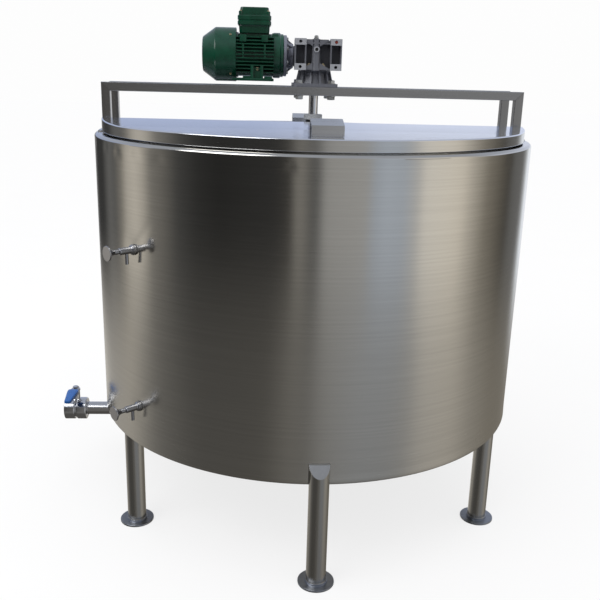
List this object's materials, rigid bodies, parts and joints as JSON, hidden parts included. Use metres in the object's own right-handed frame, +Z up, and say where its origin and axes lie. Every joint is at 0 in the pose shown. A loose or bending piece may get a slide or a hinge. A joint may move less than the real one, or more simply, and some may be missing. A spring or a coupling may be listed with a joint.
{
  "type": "bulk milk tank",
  "caption": "Round jacketed steel vat on legs, with two lid leaves, a worm gearmotor driving an agitator on portal frames, a bottom outlet with ball valve, and sampling cocks.",
  "frame": {"origin": "on the floor, under the middle of the outline; the tank's own axis is the vertical line x = 0.075, y = 0", "axes": "+Z up; -Y is the front, where the lid leaf with the high skirt is; the portal frames run along X and the outlet valve is at -X"},
  "size_m": [1.45, 1.398, 1.4921],
  "materials": {
    "brushed_steel": "brushed stainless steel, satin",
    "bright_steel": "smooth stainless steel, bright",
    "dark_cast": "cast, painted dark grey, machined pads bare",
    "green_paint": "dark green gloss paint",
    "blue_grip": "dipped blue vinyl",
    "foam": "rigid foam",
    "laminations": "bare electrical steel",
    "bronze": "machined bronze",
    "black_plastic": "moulded black plastic"
  },
  "bodies": {
    "tank": {"outer_shell": "brushed_steel", "shell_bottom": "brushed_steel", "bridge_deck": "brushed_steel", "lid_coaming": "brushed_steel", "front_beam": "brushed_steel", "rear_beam": "brushed_steel", "front_left_post": "brushed_steel", "front_right_post": "brushed_steel", "rear_left_post": "brushed_steel", "rear_right_post": "brushed_steel", "outlet_pipe": "brushed_steel", "leg_1": "brushed_steel", "leg_2": "brushed_steel", "leg_3": "brushed_steel", "leg_4": "brushed_steel", "leg_5": "brushed_steel", "leg_6": "brushed_steel", "foot_1": "brushed_steel", "foot_2": "brushed_steel", "foot_3": "brushed_steel", "foot_4": "brushed_steel", "foot_5": "brushed_steel", "foot_6": "brushed_steel", "inner_vessel": "bright_steel", "front_hinge_rod": "bright_steel", "rear_hinge_rod": "bright_steel", "valve_body": "bright_steel", "upper_cock_body": "bright_steel", "lower_cock_body": "bright_steel", "gearbox_bolt_1": "bright_steel", "gearbox_bolt_2": "bright_steel", "gearbox_bolt_3": "bright_steel", "gearbox_bolt_4": "bright_steel", "gearbox_pedestal": "dark_cast", "gearbox_housing": "dark_cast", "motor_adapter": "dark_cast", "motor_frame": "green_paint", "fan_cover": "green_paint", "terminal_box": "green_paint", "terminal_box_lid": "green_paint", "insulation": "foam", "stator": "laminations", "shaft_gland": "black_plastic"},
    "agitator": {"agitator_shaft": "bright_steel", "slinger_collar": "bright_steel", "agitator_blades": "bright_steel", "worm_wheel": "bronze"},
    "rotor": {"rotor_and_worm": "laminations", "motor_fan": "black_plastic"},
    "front_leaf": {"front_lid": "bright_steel", "front_handle": "bright_steel", "front_hinge_leaf": "brushed_steel"},
    "rear_leaf": {"rear_lid": "bright_steel", "rear_handle": "bright_steel", "rear_hinge_leaf": "brushed_steel"},
    "lever": {"valve_ball": "bright_steel", "valve_lever": "bright_steel", "lever_grip": "blue_grip"},
    "upper_knob": {"upper_cock_knob": "bright_steel"},
    "lower_knob": {"lower_cock_knob": "bright_steel"}
  },
  "joints": [
    {"name": "agitator_spin", "type": "hinge", "parent": "tank", "child": "agitator", "pos_m": [0.075, 0, 1.13], "axis": [0, 0, 1], "continuous": true},
    {"name": "rotor_spin", "type": "hinge", "parent": "tank", "child": "rotor", "pos_m": [0.075, 0.049, 1.357], "axis": [1, 0, 0], "continuous": true},
    {"name": "front_lid_swing", "type": "hinge", "parent": "tank", "child": "front_leaf", "pos_m": [0.075, -0.0922, 1.164], "axis": [-1, 0, 0], "range_deg": [0, 80]},
    {"name": "rear_lid_swing", "type": "hinge", "parent": "tank", "child": "rear_leaf", "pos_m": [0.075, 0.102, 1.1283], "axis": [1, 0, 0], "range_deg": [0, 70]},
    {"name": "valve_turn", "type": "hinge", "parent": "tank", "child": "lever", "pos_m": [-0.6895, 0, 0.212], "axis": [0, 0, -1], "range_deg": [0, 90]},
    {"name": "upper_cock_turn", "type": "hinge", "parent": "tank", "child": "upper_knob", "pos_m": [-0.41556, -0.42644, 0.853], "axis": [-0.7547, -0.6561, 0], "range_deg": [0, 300]},
    {"name": "lower_cock_turn", "type": "hinge", "parent": "tank", "child": "lower_knob", "pos_m": [-0.41556, -0.42644, 0.409], "axis": [-0.7547, -0.6561, 0], "range_deg": [0, 300]}
  ],
  "couplings": [
    {"joint": "rotor_spin", "follows": "agitator_spin", "ratio": 30}
  ]
}
